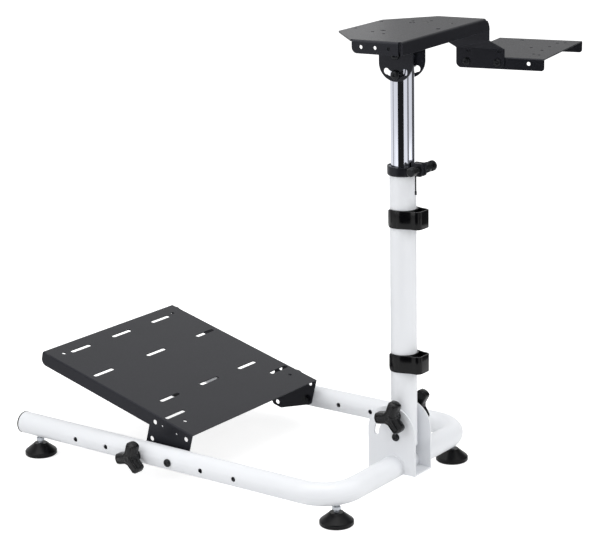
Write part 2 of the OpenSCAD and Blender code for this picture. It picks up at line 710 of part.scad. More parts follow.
module shifter_deck() color(BLACK) head() arm_frame() {
    r = shifter_t + 1;
    difference() {
        union() {
            translate([shifter_x0 + r, shifter_y0, shifter_z - shifter_t])
                cube([shifter_w - 2 * r, shifter_depth, shifter_t]);
            for (m = [0, 1]) translate([shifter_x0 + shifter_w / 2, 0, 0]) mirror([m, 0, 0]) {
                translate([-shifter_w / 2, shifter_front, shifter_z]) rotate([0, 0, -90])
                    bend_x(shifter_depth, r, shifter_t);
                translate([-shifter_w / 2, shifter_y0, shifter_z - shifter_flange]) yz(shifter_t) intersection() {
                    round_rect(shifter_depth, shifter_flange + 10, 5);
                    square([shifter_depth, shifter_flange - r]);
                }
            }
        }
        for (k = [0:2]) translate([shifter_x0 - 1, arm_bolt_y - k * arm_bolt_pitch, arm_bolt_z]) rotate([0, 90, 0])
            cylinder(r = k < 2 ? 3 + fit : 3.5, h = 8);
        for (p = shifter_holes)
            translate([shifter_x0 + shifter_w * (0.5 + p[0]), shifter_front - p[1] * shifter_depth, shifter_z - shifter_t - 1])
                cylinder(d = 6, h = shifter_t + 2);
    }
}

// Pedal deck

// pedal deck's own frame: x across, y up the slope from the low edge, z = 0 on the top face
module pedal_frame() translate([0, pedal_pivot_y, tube_axis_z]) rotate([pedal_tilt, 0, 0])
    translate([0, -pedal_pivot_u, pedal_pivot_v]) children();

// rows of slots, as shares of the deck's length and width: [up the slope, positions across]
pedal_rows = [[0.921, [-0.306, 0, 0.306]], [0.679, [-0.393, 0, 0.393]], [0.316, [-0.304, 0, 0.304]],
              [0.186, [-0.412, 0.412]]];
// rows of the small round holes
pedal_hole_rows = [0.116, 0.931];
pedal_hole_x = 0.4187;

// side flange and bracket, drawn as [up the slope, height], top face at 0
module pedal_side_2d() {
    low = pedal_pivot_v + 6;
    difference() {
        union() {
            translate([14, -pedal_flange]) square([pedal_len - 26, pedal_flange - 3]);
            translate([pedal_len - 12, -pedal_flange + 12]) circle(12);
            translate([pedal_len - 24, -pedal_flange + 12]) square([24, pedal_flange - 15]);
            polygon([[0, -3], [0, -low + 1], [3, -low - 2], [64, -91], [82, -91], [95, -78],
                     [95, -pedal_flange], [95, -3]]);
        }
        translate([pedal_pivot_u, -pedal_pivot_v]) {
            circle(bolt_r + fit);
            for (k = [0:2]) rotate(-k * pedal_step) translate([leg_hole_pitch, 0]) circle(d = leg_hole_d);
        }
        for (x = [0, leg_hole_pitch]) translate([pedal_pivot_u + x, -13.8]) circle(d = leg_hole_d);
        for (x = [34, 67]) translate([x, -13.8]) circle(d = 4);
    }
}

module pedal_deck() color(BLACK) pedal_frame() {
    r = pedal_t + 1;
    difference() {
        union() {
            translate([-pedal_w / 2 + r, 0, -pedal_t]) cube([pedal_w - 2 * r, pedal_len, pedal_t]);
            for (m = [0, 1]) mirror([m, 0, 0]) {
                translate([-pedal_w / 2, pedal_len, 0]) rotate([0, 0, -90]) bend_x(pedal_len, r, pedal_t);
                translate([-pedal_w / 2, 0, 0]) yz(pedal_t) pedal_side_2d();
            }
        }
        for (row = pedal_rows, x = row[1]) translate([x * pedal_w, row[0] * pedal_len, -pedal_t - 1])
            linear_extrude(pedal_t + 2) slot_2d(pedal_slot_len, pedal_slot_w);
        for (s = [-1, 1], y = pedal_hole_rows)
            translate([s * pedal_hole_x * pedal_w, y * pedal_len, -pedal_t - 1]) cylinder(d = 7.5, h = pedal_t + 2);
    }
}

at_pole() base_tube();
at_pole() leg_cap(-1);  // leg_cap_left
at_pole() leg_cap(1);  // leg_cap_right
at_pole() foot_pad([-leg_x, leg_end_y - foot_margin, 0]);  // foot_pad_front_left
at_pole() foot_pad([leg_x, leg_end_y - foot_margin, 0]);  // foot_pad_front_right
at_pole() foot_pad(rear_foot(-1));  // foot_pad_rear_left
at_pole() foot_pad(rear_foot(1));  // foot_pad_rear_right
at_pole() foot_stud([-leg_x, leg_end_y - foot_margin, 0]);  // foot_stud_front_left
at_pole() foot_stud([leg_x, leg_end_y - foot_margin, 0]);  // foot_stud_front_right
at_pole() foot_stud(rear_foot(-1));  // foot_stud_rear_left
at_pole() foot_stud(rear_foot(1));  // foot_stud_rear_right
at_pole() clevis();
at_pole() fold_pivot_bolt();
at_pole() pedal_bolt(-1);  // pedal_bolt_left
at_pole() pedal_bolt(1);  // pedal_bolt_right
at_pole() pedal_knob(-1);  // pedal_knob_left
at_pole() pedal_knob(1);  // pedal_knob_right
at_pole() pole();
at_pole() clamp_collar();
at_pole() clamp_nut();
at_pole() cable_clip(clip_low_z);  // cable_clip_lower
at_pole() cable_clip(clip_high_z);  // cable_clip_upper
at_pole() fold_screw();
at_pole() fold_knob(-1);  // fold_knob_left
at_pole() fold_knob(1);  // fold_knob_right
at_pole() clamp_screw();
at_pole() inner_tube();
at_pole() tilt_pivot_bolt();
at_pole() tilt_lock_bolt();
at_pole() tilt_bracket();
at_pole() wheel_deck();
at_pole() shifter_arm();
at_pole() shifter_deck();
at_pole() arm_bolt(0);  // arm_bolt_front
at_pole() arm_bolt(1);  // arm_bolt_rear
at_pole() deck_bolt(deck_bolt_ys[1]);  // deck_bolt_front
at_pole() deck_bolt(deck_bolt_ys[0]);  // deck_bolt_rear
at_pole() pedal_deck();
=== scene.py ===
# Folding racing wheel stand: finishes, small detail, light and camera. Lengths are in metres.
import math
import bpy
import bmesh
from mathutils import Matrix, Vector


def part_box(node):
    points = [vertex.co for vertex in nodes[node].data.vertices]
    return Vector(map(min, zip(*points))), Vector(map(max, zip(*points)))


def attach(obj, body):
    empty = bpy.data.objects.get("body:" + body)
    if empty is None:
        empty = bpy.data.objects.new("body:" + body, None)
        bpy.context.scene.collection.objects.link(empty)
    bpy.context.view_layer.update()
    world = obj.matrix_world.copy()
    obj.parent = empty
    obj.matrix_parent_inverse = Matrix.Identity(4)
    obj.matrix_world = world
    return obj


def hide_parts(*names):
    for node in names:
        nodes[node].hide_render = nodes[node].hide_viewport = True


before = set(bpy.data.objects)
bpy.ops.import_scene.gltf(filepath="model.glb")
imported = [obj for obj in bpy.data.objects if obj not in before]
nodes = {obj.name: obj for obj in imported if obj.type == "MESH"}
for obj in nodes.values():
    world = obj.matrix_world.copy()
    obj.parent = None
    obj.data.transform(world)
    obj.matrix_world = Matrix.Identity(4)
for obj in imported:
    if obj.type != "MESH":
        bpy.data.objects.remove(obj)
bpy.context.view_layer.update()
scene = bpy.context.scene

POLE = Vector((-0.130, -0.300, 0.0))  # foot of the pole's axis, the place from which the stand was drawn
TUBE_AXIS_Z = 0.0545                  # height of the base tube's axis
CROSS_TUBE_Y = POLE.y + 0.005
PEDAL_PIVOT_Y = POLE.y + 0.414
HEAD_YAW, ARM_YAW = 5.6, 11.9         # headings of the head and of the shifter arm, in degrees


# Colours and shader nodes

def linear(hex_code):
    """An sRGB colour such as b9bcc1 as linear red, green, blue and alpha."""
    parts = [int(hex_code[i:i + 2], 16) / 255 for i in (0, 2, 4)]
    return tuple(c / 12.92 if c <= 0.04045 else ((c + 0.055) / 1.055) ** 2.4 for c in parts) + (1.0,)


def add(tree, kind, links=None, values=None, **settings):
    """A shader or geometry node with its settings, its sockets' values and its incoming links."""
    full_kind = kind.startswith(("Geometry", "NodeGroup", "Function"))
    node = tree.nodes.new(kind if full_kind else "ShaderNode" + kind)
    for name, value in settings.items():
        setattr(node, name, value)
    for socket, value in (values or {}).items():
        node.inputs[socket].default_value = value
    for socket, source in (links or {}).items():
        tree.links.new(source, node.inputs[socket])
    return node


def bare_material(name):
    """A material with no nodes yet, and its tree."""
    mat = bpy.data.materials.new(name)
    mat.use_nodes = True
    mat.node_tree.nodes.clear()
    return mat, mat.node_tree


def finish_base(name):
    """A material of the stand with its shader, output and object coordinates."""
    mat, tree = bare_material(name)
    shader = add(tree, "BsdfPrincipled")
    add(tree, "OutputMaterial", {"Surface": shader.outputs["BSDF"]})
    place = add(tree, "TexCoord").outputs["Object"]
    return mat, tree, shader, place


def two_tone(tree, place, low, high, scale):
    """A cloudy mix of two colours and the cloud itself; scale is in features per metre."""
    cloud = add(tree, "TexNoise", {"Vector": place}, {"Scale": scale, "Detail": 3.0, "Roughness": 0.55})
    mix = add(tree, "Mix", {"Factor": cloud.outputs["Fac"]}, data_type="RGBA")
    mix.inputs["A"].default_value = linear(low)
    mix.inputs["B"].default_value = linear(high)
    return mix.outputs["Result"], cloud.outputs["Fac"]


def ranged(tree, source, low, high):
    """The middle half of a noise spread over a range, for roughness."""
    spread = add(tree, "MapRange", {"Value": source},
                 {"From Min": 0.25, "From Max": 0.75, "To Min": low, "To Max": high})
    return spread.outputs["Result"]


def bumped(tree, shader, height, distance, strength, edge=0.0004):
    """Surface relief over softly rounded edges."""
    rounded = add(tree, "Bevel", values={"Radius": edge}, samples=6)
    bump = add(tree, "Bump", {"Height": height, "Normal": rounded.outputs["Normal"]},
               {"Strength": strength, "Distance": distance})
    tree.links.new(bump.outputs["Normal"], shader.inputs["Normal"])


def white_powder_coat():
    """Powder coat on steel tube, sprayed and baked: a smooth satin white with a faint orange peel."""
    mat, tree, shader, place = finish_base("powder_coat_white_satin")
    colour, _ = two_tone(tree, place, "e7e9ed", "edeff2", 9.0)
    tree.links.new(colour, shader.inputs["Base Color"])
    # orange peel is about 1 mm across; 2.5 mm is as fine as it shows here
    peel = add(tree, "TexNoise", {"Vector": place}, {"Scale": 400.0, "Detail": 1.5})
    tree.links.new(ranged(tree, peel.outputs["Fac"], 0.3, 0.4), shader.inputs["Roughness"])
    bumped(tree, shader, peel.outputs["Fac"], 0.00012, 0.25)
    return mat


def black_powder_coat():
    """Powder coat on pressed steel sheet: fine-grained satin black, with a painted highlight that makes it
    paler on the edges.
    """
    mat, tree, shader, place = finish_base("powder_coat_black_fine_texture")
    colour, _ = two_tone(tree, place, "0f1014", "16171c", 14.0)
    # painted highlight: where the surface turns within 1.2 mm, a paler colour is mixed in to stand for the
    # light that the rounded edge catches
    rounded = add(tree, "Bevel", values={"Radius": 0.0012}, samples=4)
    flat = add(tree, "NewGeometry").outputs["Normal"]
    turn = add(tree, "VectorMath", {0: rounded.outputs["Normal"], 1: flat}, operation="DOT_PRODUCT")
    edge = add(tree, "MapRange", {"Value": turn.outputs["Value"]},
               {"From Min": 0.98, "From Max": 0.8, "To Min": 0.0, "To Max": 1.0})
    edge_painted_highlight = add(tree, "Mix", {"Factor": edge.outputs["Result"], "A": colour}, data_type="RGBA")
    # the paler colour of the painted edge highlight
    edge_painted_highlight.inputs["B"].default_value = linear("2e3036")
    tree.links.new(edge_painted_highlight.outputs["Result"], shader.inputs["Base Color"])
    # the grain is 0.5 mm across; 1.5 mm is as fine as it shows here
    grain = add(tree, "TexNoise", {"Vector": place}, {"Scale": 650.0, "Detail": 2.0})
    tree.links.new(ranged(tree, grain.outputs["Fac"], 0.3, 0.42), shader.inputs["Roughness"])
    shader.inputs["Specular IOR Level"].default_value = 0.27
    shader.inputs["Specular Tint"].default_value = (0.88, 0.89, 1.0, 1.0)
    bumped(tree, shader, grain.outputs["Fac"], 0.00015, 0.35)
    return mat


def black_nylon():
    """Glass-filled nylon, moulded: black with a fine grain and sharp lights along its edges."""
    mat, tree, shader, place = finish_base("nylon_black_moulded")
    colour, cloud = two_tone(tree, place, "08090b", "101113", 60.0)
    tree.links.new(colour, shader.inputs["Base Color"])
    # the spark-eroded grain is 0.4 mm across; 1.2 mm is as fine as it shows here
    grain = add(tree, "TexVoronoi", {"Vector": place}, {"Scale": 800.0})
    tree.links.new(ranged(tree, cloud, 0.2, 0.3), shader.inputs["Roughness"])
    shader.inputs["Specular IOR Level"].default_value = 0.3
    bumped(tree, shader, grain.outputs["Distance"], 0.0001, 0.3, edge=0.0012)
    return mat


def black_rubber():
    """Moulded rubber of the foot pads: black with a soft sheen on the flare and a grain of 1 mm."""
    mat, tree, shader, place = finish_base("rubber_black_moulded")
    colour, cloud = two_tone(tree, place, "070708", "0e0e10", 90.0)
    tree.links.new(colour, shader.inputs["Base Color"])
    grain = add(tree, "TexNoise", {"Vector": place}, {"Scale": 900.0, "Detail": 2.0})
    tree.links.new(ranged(tree, cloud, 0.26, 0.38), shader.inputs["Roughness"])
    shader.inputs["Specular IOR Level"].default_value = 0.18
    bumped(tree, shader, grain.outputs["Fac"], 0.0001, 0.3, edge=0.0008)
    return mat


def black_abs():
    """Polished ABS of the cable clips: glossy black with soft flow marks about 14 mm long."""
    mat, tree, shader, place = finish_base("abs_black_gloss")
    colour, cloud = two_tone(tree, place, "050506", "0a0a0c", 25.0)
    tree.links.new(colour, shader.inputs["Base Color"])
    tree.links.new(ranged(tree, cloud, 0.12, 0.2), shader.inputs["Roughness"])
    shader.inputs["Specular IOR Level"].default_value = 0.22
    flow = add(tree, "TexNoise", {"Vector": place}, {"Scale": 70.0, "Detail": 1.0})
    bumped(tree, shader, flow.outputs["Fac"], 0.0003, 0.15, edge=0.0008)
    return mat


def chrome_plate():
    """Chrome on a drawn steel tube: mirror-bright, with hair-fine polishing lines round it."""
    mat, tree, shader, place = finish_base("chrome_plate_polished")
    shader.inputs["Metallic"].default_value = 1.0
    colour, _ = two_tone(tree, place, "dbdeea", "e4e7f1", 20.0)
    tree.links.new(colour, shader.inputs["Base Color"])
    # the lines lie round the tube, 1.1 mm apart and 50 mm long, so the pattern is squeezed in height
    lines = add(tree, "Mapping", {"Vector": place}, {"Scale": (20.0, 20.0, 900.0)})
    fine = add(tree, "TexNoise", {"Vector": lines.outputs["Vector"]}, {"Scale": 1.0, "Detail": 2.0})
    tree.links.new(ranged(tree, fine.outputs["Fac"], 0.03, 0.07), shader.inputs["Roughness"])
    bumped(tree, shader, fine.outputs["Fac"], 0.00001, 0.1)
    return mat


def bright_zinc():
    """Zinc plate on turned steel: bright, faintly blue, with an uneven bloom."""
    mat, tree, shader, place = finish_base("zinc_plate_on_steel")
    shader.inputs["Metallic"].default_value = 1.0
    colour, cloud = two_tone(tree, place, "a9adb3", "bcc0c5", 120.0)
    tree.links.new(colour, shader.inputs["Base Color"])
    tree.links.new(ranged(tree, cloud, 0.22, 0.4), shader.inputs["Roughness"])
    bumped(tree, shader, cloud, 0.00005, 0.2)
    return mat


def black_oxide():
    """Black oxide on bolt steel: near-black metal with an oily sheen."""
    mat, tree, shader, place = finish_base("steel_black_oxide")
    shader.inputs["Metallic"].default_value = 0.7
    colour, cloud = two_tone(tree, place, "1a1b1d", "26282b", 150.0)
    tree.links.new(colour, shader.inputs["Base Color"])
    tree.links.new(ranged(tree, cloud, 0.26, 0.42), shader.inputs["Roughness"])
    bumped(tree, shader, cloud, 0.00005, 0.2)
    return mat


WHITE = white_powder_coat()
BLACK = black_powder_coat()
NYLON = black_nylon()
RUBBER = black_rubber()
ABS = black_abs()
CHROME = chrome_plate()
ZINC = bright_zinc()
OXIDE = black_oxide()

# The longest of these that a node's name starts with gives its finish
FINISHES = {
    "base_tube": WHITE, "clevis": WHITE, "pole": WHITE,
    "leg_cap": NYLON, "foot_pad": RUBBER, "foot_stud": ZINC,
    "fold_pivot_bolt": OXIDE, "pedal_bolt": OXIDE, "pedal_knob": NYLON,
    "clamp_collar": BLACK, "clamp_nut": OXIDE, "cable_clip": ABS,
    "fold_screw": ZINC, "fold_knob": NYLON, "clamp_screw": OXIDE,
    "inner_tube": CHROME, "tilt_pivot_bolt": OXIDE, "tilt_lock_bolt": OXIDE,
    "tilt_bracket": BLACK, "wheel_deck": BLACK, "shifter_arm": BLACK, "shifter_deck": BLACK,
    "arm_bolt": OXIDE, "deck_bolt": OXIDE, "pedal_deck": BLACK,
}
for name, piece in nodes.items():
    key = max((k for k in FINISHES if name.startswith(k)), key=len)
    piece.data.materials.clear()
    piece.data.materials.append(FINISHES[key])


# Geometry Nodes: what repeats on the stand

def group(name, inputs):
    """An empty node group with a geometry input, the named inputs and a geometry output."""
    tree = bpy.data.node_groups.new(name, "GeometryNodeTree")
    tree.interface.new_socket(name="Geometry", in_out="INPUT", socket_type="NodeSocketGeometry")
    for label, kind, value in inputs:
        tree.interface.new_socket(name=label, in_out="INPUT", socket_type=kind).default_value = value
    tree.interface.new_socket(name="Geometry", in_out="OUTPUT", socket_type="NodeSocketGeometry")
    return tree, add(tree, "NodeGroupInput").outputs


def finished(tree, geometry, finish):
    """Ends a tree in real geometry that carries its finish."""
    real = add(tree, "GeometryNodeRealizeInstances", {"Geometry": geometry})
    smooth = add(tree, "GeometryNodeSetShadeSmooth", {"Geometry": real.outputs["Geometry"]})
    done = add(tree, "GeometryNodeSetMaterial", {"Geometry": smooth.outputs["Geometry"]},
               {"Material": finish})
    add(tree, "NodeGroupOutput", {"Geometry": done.outputs["Geometry"]})
    return tree


def thread_tree(finish):
    """A column of thread rings standing on every vertex."""
    tree, given = group("thread_rings", [
        ("Radius", "NodeSocketFloat", 0.004), ("Wire", "NodeSocketFloat", 0.0004),
        ("Pitch", "NodeSocketFloat", 0.00125), ("Count", "NodeSocketInt", 6)])
    step = add(tree, "CombineXYZ", {"Z": given["Pitch"]})
    column = add(tree, "GeometryNodeMeshLine", {"Count": given["Count"], "Offset": step.outputs["Vector"]},
                 mode="OFFSET")
    turn = add(tree, "GeometryNodeCurvePrimitiveCircle", {"Radius": given["Radius"]}, {"Resolution": 24})
    wire = add(tree, "GeometryNodeCurvePrimitiveCircle", {"Radius": given["Wire"]}, {"Resolution": 6})
    ring = add(tree, "GeometryNodeCurveToMesh",
               {"Curve": turn.outputs["Curve"], "Profile Curve": wire.outputs["Curve"]})
    stack = add(tree, "GeometryNodeInstanceOnPoints",
                {"Points": column.outputs["Mesh"], "Instance": ring.outputs["Mesh"]})
    every_stud = add(tree, "GeometryNodeInstanceOnPoints",
                     {"Points": given["Geometry"], "Instance": stack.outputs["Instances"]})
    return finished(tree, every_stud.outputs["Instances"], finish)


def bead_tree(finish):
    """A weld bead: overlapping drops along every path, a little uneven in size."""
    tree, given = group("weld_bead", [
        ("Drop", "NodeSocketFloat", 0.0016), ("Step", "NodeSocketFloat", 0.0014)])
    path = add(tree, "GeometryNodeMeshToCurve", {"Mesh": given["Geometry"]})
    spaced = add(tree, "GeometryNodeResampleCurve", {"Curve": path.outputs["Curve"], "Length": given["Step"]},
                 mode="LENGTH")
    drop = add(tree, "GeometryNodeMeshIcoSphere", {"Radius": given["Drop"]}, {"Subdivisions": 2})
    # sockets 2 and 3 are the least and the most
    uneven = add(tree, "FunctionNodeRandomValue", values={2: 0.85, 3: 1.12, "Seed": 7}, data_type="FLOAT")
    row = add(tree, "GeometryNodeInstanceOnPoints",
              {"Points": spaced.outputs["Curve"], "Instance": drop.outputs["Mesh"],
               "Scale": uneven.outputs[1]})
    return finished(tree, row.outputs["Instances"], finish)


def grown(name, points, edges, tree, sizes, body):
    """Runs a tree on a few points or paths and keeps the result as one plain mesh."""
    seed_mesh = bpy.data.meshes.new(name + "_path")
    seed_mesh.from_pydata(points, edges, [])
    seed = bpy.data.objects.new(name + "_path", seed_mesh)
    scene.collection.objects.link(seed)
    modifier = seed.modifiers.new("grow", "NODES")
    modifier.node_group = tree
    named = {item.name: item.identifier for item in tree.interface.items_tree if item.in_out == "INPUT"}
    for label, value in sizes.items():
        modifier[named[label]] = value
    result = bpy.data.meshes.new_from_object(seed.evaluated_get(bpy.context.evaluated_depsgraph_get()))
    seed.modifiers.remove(modifier)
    bpy.data.objects.remove(seed)
    result.name = name
    piece = bpy.data.objects.new(name, result)
    scene.collection.objects.link(piece)
    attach(piece, body)
    return piece


# Threads on the four levelling studs, between the pad and the tube

PAD_TOP = 0.0222  # the lowest thread ring
STUD_THREAD = {"Radius": 0.00395, "Wire": 0.00042, "Pitch": 0.00125, "Count": 4}


def stud_threads():
    feet = [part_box("foot_stud_" + side) for side in ("front_left", "front_right", "rear_left", "rear_right")]
    points = [((low.x + high.x) / 2, (low.y + high.y) / 2, PAD_TOP) for low, high in feet]
    piece = grown("foot_stud_threads", points, [], thread_tree(ZINC), STUD_THREAD, "base")


# Weld beads round the base tube, on the outer faces of the two clevis plates

BEAD_RADIUS = 0.0201  # round the tube's axis, just outside its skin
BEAD_OUT = 0.0002     # off the plate's face
BEAD_SIZES = {"Drop": 0.0017, "Step": 0.0015}


def clevis_beads():
    low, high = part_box("clevis")
    points, edges = [], []
    for x in (low.x - BEAD_OUT, high.x + BEAD_OUT):
        first = len(points)
        # from one lower corner of the plate over the top of the tube to the other
        for degrees in range(-118, 119, 4):
            a = math.radians(degrees)
            points.append((x, CROSS_TUBE_Y + BEAD_RADIUS * math.sin(a),
                           TUBE_AXIS_Z + BEAD_RADIUS * math.cos(a)))
        edges.extend((i, i + 1) for i in range(first, len(points) - 1))
    piece = grown("clevis_weld_beads", points, edges, bead_tree(WHITE), BEAD_SIZES, "base")


stud_threads()
clevis_beads()


# Mesh helpers for the moulded and turned pieces

def made(name, shape, finish, body):
    """A finished mesh as a smooth piece of the stand."""
    bmesh.ops.recalc_face_normals(shape, faces=shape.faces)
    mesh = bpy.data.meshes.new(name)
    shape.to_mesh(mesh)
    shape.free()
    for face in mesh.polygons:
        face.use_smooth = True
    mesh.materials.append(finish)
    piece = bpy.data.objects.new(name, mesh)
    scene.collection.objects.link(piece)
    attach(piece, body)
    return piece


def rings_joined(shape, rings):
    """Walls between rings of points of equal count, closed at both ends by a fan to the middle."""
    rows = [[shape.verts.new(p) for p in ring] for ring in rings]
    for lower, upper in zip(rows, rows[1:]):
        for i in range(len(lower)):
            j = (i + 1) % len(lower)
            shape.faces.new((lower[i], lower[j], upper[j], upper[i]))
    for row in (rows[0], rows[-1]):
        hub = shape.verts.new(sum((v.co for v in row), Vector()) / len(row))
        for i in range(len(row)):
            shape.faces.new((row[i], row[(i + 1) % len(row)], hub))


def circle(count):
    """Cosine and sine of evenly spaced angles."""
    angles = [2 * math.pi * i / count for i in range(count)]
    return [(math.cos(a), math.sin(a)) for a in angles]


# Three-lobed knobs with rounded edges, a sunk groove round the face and a cap in the middle

KNOB_REACH = 0.0302       # from the middle to a lobe's tip
KNOB_HALF_WIDTH = 0.0100  # of a lobe
KNOB_ROOT = 0.0135        # radius of the body between the lobes
KNOB_HUB = 0.0080         # length of the neck under the lobes
KNOB_DEPTH = 0.0170       # of the lobes
KNOB_POINTS = 120         # round the outline
TIP_BLUNTNESS = 0.16
SHORTEST_SCREW = 0.002    # below this, no screw shows behind the neck


def lobe_radius(angle, spin):
    """Distance from the middle to the knob's edge: the longest reach of its round root and three lobes."""
    best = KNOB_ROOT
    for k in range(3):
        off = (angle - spin - 120 * k + 180) % 360 - 180
        if abs(off) < 60:
            across = abs(math.sin(math.radians(off)))
            reach = KNOB_HALF_WIDTH / across if across > 1e-6 else 1.0
            # blunt tip: a gentle arc instead of a half circle
            tip = KNOB_REACH - TIP_BLUNTNESS * (KNOB_REACH * across) ** 2 / KNOB_HALF_WIDTH
            best = max(best, min(reach, tip))
    return best


def knob_outline(spin):
    """The knob's outline as flat points, its corners softened once."""
    points = []
    for i in range(KNOB_POINTS):
        angle = 360.0 * i / KNOB_POINTS
        r = lobe_radius(angle, spin)
        points.append(Vector((r * math.cos(math.radians(angle)), r * math.sin(math.radians(angle)))))
    return [(points[i - 1] + 2 * points[i] + points[(i + 1) % KNOB_POINTS]) / 4 for i in range(KNOB_POINTS)]


def lobed_knob(node, axis_y, axis_z, spin, body):
    """A knob in the node's place; spin is a lobe's angle in degrees, from up towards forward."""
    low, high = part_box(node)
    # the box's outer end is the knob's face and its inner end the screw's
    if low.x < POLE.x:
        face_x, screw_x, outward = low.x, high.x, -1.0
    else:
        face_x, screw_x, outward = high.x, low.x, 1.0
    root_x = face_x - outward * (KNOB_HUB + KNOB_DEPTH)
    outline = knob_outline(spin)

    def ring(inset, height):
        places = []
        for i, point in enumerate(outline):
            along = (outline[(i + 1) % KNOB_POINTS] - outline[i - 1]).normalized()
            q = point - inset * Vector((along.y, -along.x))
            places.append((root_x + outward * height, axis_y + q.y, axis_z + q.x))
        return places

    root, face = KNOB_HUB, KNOB_HUB + KNOB_DEPTH
    # inset from the outline and height above the neck's foot
    side = [(0.0020, root), (0.0006, root + 0.0004), (0.0, root + 0.0018), (0.0002, face - 0.0040)]
    edge = [(0.0005, face - 0.0034), (0.0022, face - 0.0006), (0.0028, face), (0.0036, face)]
    groove = [(0.0041, face - 0.0016), (0.0050, face - 0.0016), (0.0055, face - 0.0002), (0.0060, face)]
    shape = bmesh.new()
    rings_joined(shape, [ring(inset, height) for inset, height in side + edge + groove])
    # radius and height of the turned parts
    neck = [(0.0105, 0.0), (0.0108, 0.0006), (0.0108, root + 0.0005)]
    cap = [(0.0066, face - 0.0004), (0.0066, face + 0.0003), (0.0060, face + 0.0009),
           (0.0032, face + 0.0009), (0.0026, face + 0.0002)]
    profiles = [neck, cap]
    screw_length = abs(screw_x - root_x)
    if screw_length > SHORTEST_SCREW:
        profiles.append([(0.0033, -screw_length), (0.0039, 0.0006 - screw_length), (0.0039, 0.0005)])
    for profile in profiles:
        rings_joined(shape, [[(root_x + outward * h, axis_y + r * c, axis_z + r * s) for c, s in circle(40)]
                             for r, h in profile])
    knob = made(node + "_moulded", shape, NYLON, body)
    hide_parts(node)


screw_low, screw_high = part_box("fold_screw")
pedal_axis = (PEDAL_PIVOT_Y, TUBE_AXIS_Z)
fold_axis = ((screw_low.y + screw_high.y) / 2, (screw_low.z + screw_high.z) / 2)
lobed_knob("pedal_knob_left", *pedal_axis, -16, "base")
lobed_knob("pedal_knob_right", *pedal_axis, -16, "base")
lobed_knob("fold_knob_left", *fold_axis, -19, "pole_body")
lobed_knob("fold_knob_right", *fold_axis, -30, "pole_body")


# Snap-on cable clips: a springy band with rounded ends and a loop behind, moulded in one

CLIP_WALL, CLIP_HIGH = 0.0027, 0.0310
CLIP_INSIDE = 0.0226      # radius, a hair over the pole's
CLIP_MOUTH = 36.0         # half of the open angle in front, in degrees
BAND_STEPS = 96           # along the band
BAND_END_ROUND = 0.011    # radius at the band's rounded ends
WALL_EDGE_ROUND = 0.0007
LOOP_HALF, LOOP_BACK, LOOP_BEND = 0.0168, -0.0417, 0.0080


def wall_ring(point, across, wall, high, middle):
    """A rounded upright section of a wall at one point of its path."""
    soft = WALL_EDGE_ROUND
    ring = []
    for k, (sx, sz) in enumerate([(1, 1), (-1, 1), (-1, -1), (1, -1)]):
        for t in (0, 1, 2):
            turn = math.radians(90 * k + 45 * t)
            ring.append(Vector((point.x, point.y, middle))
                        + across * (sx * (wall / 2 - soft) + soft * math.cos(turn))
                        + Vector((0, 0, sz * (high / 2 - soft) + soft * math.sin(turn))))
    return ring


def wall_along(shape, path, wall, heights, middle):
    """A wall that follows a path seen from above, with its own height at each point."""
    rings = []
    for i, (point, high) in enumerate(zip(path, heights)):
        along = (path[min(i + 1, len(path) - 1)] - path[max(i - 1, 0)]).normalized()
        rings.append(wall_ring(point, Vector((along.y, -along.x, 0)), wall, high, middle))
    rings_joined(shape, rings)


def band_heights(spacing):
    """The band's height at each of its points, lower at its rounded ends."""
    heights = []
    for i in range(BAND_STEPS + 1):
        from_end = min(i, BAND_STEPS - i) * spacing + 0.0004
        cut = 0.0
        if from_end < BAND_END_ROUND:
            cut = 2 * (BAND_END_ROUND - math.sqrt(BAND_END_ROUND ** 2 - (BAND_END_ROUND - from_end) ** 2))
        heights.append(CLIP_HIGH - cut)
    return heights


def loop_left_half():
    """The loop's left half seen from above, from the band's side to the middle of the back."""
    # from the band's side the wall draws in to the loop's width in one soft curve
    start, straight = Vector((-0.0237, -0.0035)), Vector((-LOOP_HALF, LOOP_BACK + LOOP_BEND))
    pull_start, pull_end = start + Vector((0.0003, -0.0110)), straight + Vector((0.0, 0.0130))
    places = []
    for i in range(17):
        t = i / 16
        places.append(tuple((1 - t) ** 3 * start + 3 * t * (1 - t) ** 2 * pull_start
                            + 3 * t * t * (1 - t) * pull_end + t ** 3 * straight))
    for i in range(1, 10):
        a = math.radians(10 * i)
        places.append((-LOOP_HALF + LOOP_BEND - LOOP_BEND * math.cos(a),
                       LOOP_BACK + LOOP_BEND - LOOP_BEND * math.sin(a)))
    return places


def cable_clip(node, middle):
    """A clip on the pole; middle is the height of its middle."""
    shape = bmesh.new()
    r = CLIP_INSIDE + CLIP_WALL / 2
    turns = [math.radians(CLIP_MOUTH + (360 - 2 * CLIP_MOUTH) * i / BAND_STEPS)
             for i in range(BAND_STEPS + 1)]
    band = [Vector((POLE.x + r * math.sin(a), POLE.y + r * math.cos(a), 0)) for a in turns]
    wall_along(shape, band, CLIP_WALL, band_heights((band[1] - band[0]).length), middle)
    left_half = loop_left_half()
    right_half = [(-x, y) for x, y in reversed(left_half)]
    loop = [Vector((POLE.x + x, POLE.y + y, 0)) for x, y in left_half + right_half]
    wall_along(shape, loop, CLIP_WALL * 1.1, [CLIP_HIGH - 0.0006] * len(loop), middle)
    clip = made(node + "_moulded", shape, ABS, "pole_body")
    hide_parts(node)


cable_clip("cable_clip_lower", 0.2395)
cable_clip("cable_clip_upper", 0.4890)


# Plugs in the legs' open ends: a flange as wide as the tube and a low dome

PLUG_LENGTH_INSIDE = 0.0140
# radius and distance from the leg's end, from inside the leg to the dome's top
PLUG_PROFILE = [(0.0162, -0.0135), (0.0174, -0.0125), (0.0174, 0.0), (0.0197, 0.0001), (0.0203, 0.0005),
                (0.0203, 0.0024), (0.0196, 0.0033), (0.0178, 0.0039), (0.0120, 0.0046), (0.0050, 0.0050)]


